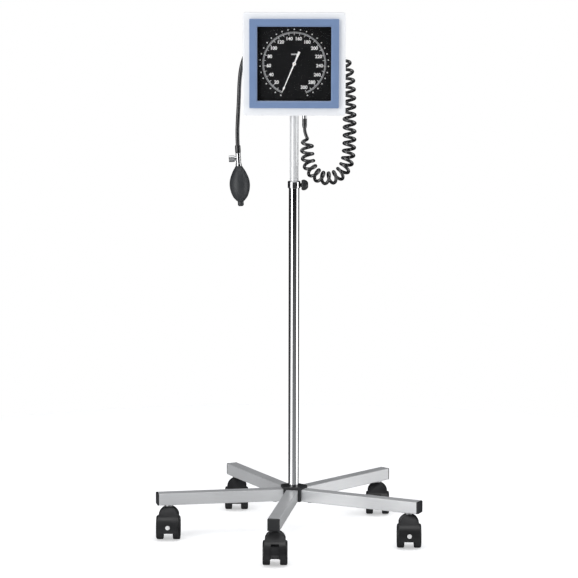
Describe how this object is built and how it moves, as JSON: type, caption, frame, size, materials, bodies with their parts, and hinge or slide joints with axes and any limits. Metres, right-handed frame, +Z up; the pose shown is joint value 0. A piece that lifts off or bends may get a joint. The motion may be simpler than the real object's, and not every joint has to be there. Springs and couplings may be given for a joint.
{
  "type": "upper arm blood pressure monitor on a mobile stand",
  "caption": "Square-dial aneroid upper arm blood pressure monitor on a five-legged castor stand with a telescopic mast, a coiled hose, a cuff basket and an inflation bulb.",
  "frame": {"origin": "middle of the object's footprint, on the floor", "axes": "+Z up along the mast, -Y the way the dial faces, +X to the user's right"},
  "size_m": [0.5552, 0.5794, 1.093],
  "materials": {
    "white_plastic": "moulded, fine satin",
    "blue_plastic": "moulded, satin",
    "clear_lens": "clear, polished",
    "dial_black": "flat black enamel with white printing",
    "pointer_white": "white enamel",
    "brass": "machined",
    "capsule_bronze": "rolled diaphragm sheet",
    "steel": "zinc plated",
    "brushed_leg": "brushed along the leg",
    "chrome_tube": "polished chrome plate",
    "chrome_trim": "polished nickel plate",
    "satin_tube": "satin anodised",
    "black_plastic": "moulded, satin",
    "castor_plastic": "moulded nylon",
    "wheel_plastic": "moulded nylon tread",
    "hose_rubber": "smooth extruded rubber",
    "bulb_rubber": "moulded rubber with a parting line",
    "cuff_fabric": "woven nylon"
  },
  "bodies": {
    "base": {"hub": "black_plastic", "leg_1": "brushed_leg", "leg_2": "brushed_leg", "leg_3": "brushed_leg", "leg_4": "brushed_leg", "leg_5": "brushed_leg", "leg_end_caps": "black_plastic", "castor_sockets": "black_plastic", "castor_stems": "steel", "leg_screws": "steel", "mast_bolt": "steel", "mast_outer": "chrome_tube", "clamp_collar": "chrome_trim"},
    "clamp_pad": {"clamp_pad": "black_plastic"},
    "clamp_knob": {"clamp_knob": "black_plastic"},
    "mast_bush": {"mast_bush": "black_plastic"},
    "head": {"mast_inner": "satin_tube", "case_front": "white_plastic", "case_back": "white_plastic", "bezel": "blue_plastic", "lens": "clear_lens", "dial_plate": "dial_black", "case_screws": "steel", "movement_frame": "brass", "capsule_base": "brass", "capsule": "capsule_bronze", "gauge_inlet": "chrome_trim", "cuff_basket": "white_plastic", "cuff": "cuff_fabric", "cuff_ports": "hose_rubber", "coil_hose": "hose_rubber", "coil_tail": "hose_rubber", "coil_lead": "hose_rubber", "bulb_hose": "hose_rubber", "hose_sleeves": "hose_rubber", "valve_body": "chrome_trim", "bulb": "bulb_rubber", "bulb_end_valve": "bulb_rubber"},
    "pointer": {"pointer": "pointer_white", "pinion_arbor": "brass"},
    "sector": {"sector_gear": "brass"},
    "link": {"link_rod": "steel"},
    "valve_screw": {"valve_screw": "chrome_trim"},
    "castor_1": {"castor_1_housing": "castor_plastic"},
    "castor_1_left": {"castor_1_wheel_left": "wheel_plastic"},
    "castor_1_right": {"castor_1_wheel_right": "wheel_plastic"},
    "castor_1_brake": {"castor_1_brake_lever": "castor_plastic"},
    "castor_2": {"castor_2_housing": "castor_plastic"},
    "castor_2_left": {"castor_2_wheel_left": "wheel_plastic"},
    "castor_2_right": {"castor_2_wheel_right": "wheel_plastic"},
    "castor_3": {"castor_3_housing": "castor_plastic"},
    "castor_3_left": {"castor_3_wheel_left": "wheel_plastic"},
    "castor_3_right": {"castor_3_wheel_right": "wheel_plastic"},
    "castor_3_brake": {"castor_3_brake_lever": "castor_plastic"},
    "castor_4": {"castor_4_housing": "castor_plastic"},
    "castor_4_left": {"castor_4_wheel_left": "wheel_plastic"},
    "castor_4_right": {"castor_4_wheel_right": "wheel_plastic"},
    "castor_5": {"castor_5_housing": "castor_plastic"},
    "castor_5_left": {"castor_5_wheel_left": "wheel_plastic"},
    "castor_5_right": {"castor_5_wheel_right": "wheel_plastic"}
  },
  "joints": [
    {"name": "mast_lift", "type": "slide", "parent": "base", "child": "mast_bush", "axis": [0, 0, 1], "range_m": [-0.125, 0.3]},
    {"name": "head_turn", "type": "hinge", "parent": "mast_bush", "child": "head", "pos_m": [0.01036, 0.02886, 0.356], "axis": [0, 0, 1], "continuous": true},
    {"name": "clamp_turn", "type": "hinge", "parent": "clamp_pad", "child": "clamp_knob", "pos_m": [0.01036, 0.02886, 0.736], "axis": [1, 0, 0], "range_deg": [0, 740]},
    {"name": "clamp_travel", "type": "slide", "parent": "base", "child": "clamp_pad", "axis": [1, 0, 0], "range_m": [0, 0.0025]},
    {"name": "sector_turn", "type": "hinge", "parent": "head", "child": "sector", "pos_m": [0.04886, -0.00314, 0.9886], "axis": [0, -1, 0], "range_deg": [0, 31.4], "stiffness_Nm_per_rad": 0.02, "springref_deg": -22.92},
    {"name": "pointer_turn", "type": "hinge", "parent": "head", "child": "pointer", "pos_m": [0.01036, -0.00314, 0.9886], "axis": [0, -1, 0], "range_deg": [-314, 0]},
    {"name": "link_lift", "type": "slide", "parent": "head", "child": "link", "axis": [0, 0, 1], "range_m": [0, 0.0045], "deforming": ["capsule"]},
    {"name": "valve_turn", "type": "hinge", "parent": "head", "child": "valve_screw", "pos_m": [-0.10536, 0.03386, 0.79052], "axis": [-0.9986, 0, -0.0531], "range_deg": [0, 720]},
    {"name": "castor_1_swivel", "type": "hinge", "parent": "base", "child": "castor_1", "pos_m": [-0.0242, -0.23367, 0.06], "axis": [0, 0, 1], "continuous": true},
    {"name": "castor_1_left_roll", "type": "hinge", "parent": "castor_1", "child": "castor_1_left", "pos_m": [-0.0242, -0.25367, 0.025], "axis": [1, 0, 0], "continuous": true},
    {"name": "castor_1_right_roll", "type": "hinge", "parent": "castor_1", "child": "castor_1_right", "pos_m": [-0.0242, -0.25367, 0.025], "axis": [1, 0, 0], "continuous": true},
    {"name": "castor_1_brake_press", "type": "hinge", "parent": "castor_1", "child": "castor_1_brake", "pos_m": [-0.0242, -0.27787, 0.0386], "axis": [1, 0, 0], "range_deg": [0, 12]},
    {"name": "castor_2_swivel", "type": "hinge", "parent": "base", "child": "castor_2", "pos_m": [0.24937, -0.08514, 0.06], "axis": [0, 0, 1], "continuous": true},
    {"name": "castor_2_left_roll", "type": "hinge", "parent": "castor_2", "child": "castor_2_left", "pos_m": [0.24937, -0.10514, 0.025], "axis": [1, 0, 0], "continuous": true},
    {"name": "castor_2_right_roll", "type": "hinge", "parent": "castor_2", "child": "castor_2_right", "pos_m": [0.24937, -0.10514, 0.025], "axis": [1, 0, 0], "continuous": true},
    {"name": "castor_3_swivel", "type": "hinge", "parent": "base", "child": "castor_3", "pos_m": [0.19264, 0.22094, 0.06], "axis": [0, 0, 1], "continuous": true},
    {"name": "castor_3_left_roll", "type": "hinge", "parent": "castor_3", "child": "castor_3_left", "pos_m": [0.19264, 0.20094, 0.025], "axis": [1, 0, 0], "continuous": true},
    {"name": "castor_3_right_roll", "type": "hinge", "parent": "castor_3", "child": "castor_3_right", "pos_m": [0.19264, 0.20094, 0.025], "axis": [1, 0, 0], "continuous": true},
    {"name": "castor_3_brake_press", "type": "hinge", "parent": "castor_3", "child": "castor_3_brake", "pos_m": [0.19264, 0.17674, 0.0386], "axis": [1, 0, 0], "range_deg": [0, 12]},
    {"name": "castor_4_swivel", "type": "hinge", "parent": "base", "child": "castor_4", "pos_m": [-0.11599, 0.26157, 0.06], "axis": [0, 0, 1], "continuous": true},
    {"name": "castor_4_left_roll", "type": "hinge", "parent": "castor_4", "child": "castor_4_left", "pos_m": [-0.11599, 0.24157, 0.025], "axis": [1, 0, 0], "continuous": true},
    {"name": "castor_4_right_roll", "type": "hinge", "parent": "castor_4", "child": "castor_4_right", "pos_m": [-0.11599, 0.24157, 0.025], "axis": [1, 0, 0], "continuous": true},
    {"name": "castor_5_swivel", "type": "hinge", "parent": "base", "child": "castor_5", "pos_m": [-0.25001, -0.0194, 0.06], "axis": [0, 0, 1], "continuous": true},
    {"name": "castor_5_left_roll", "type": "hinge", "parent": "castor_5", "child": "castor_5_left", "pos_m": [-0.25001, -0.0394, 0.025], "axis": [1, 0, 0], "continuous": true},
    {"name": "castor_5_right_roll", "type": "hinge", "parent": "castor_5", "child": "castor_5_right", "pos_m": [-0.25001, -0.0394, 0.025], "axis": [1, 0, 0], "continuous": true}
  ],
  "couplings": [
    {"joint": "pointer_turn", "follows": "sector_turn", "ratio": -10},
    {"joint": "link_lift", "follows": "sector_turn", "m_per_rad": 0.008},
    {"joint": "clamp_turn", "follows": "clamp_travel", "rad_per_m": 5026.6}
  ]
}
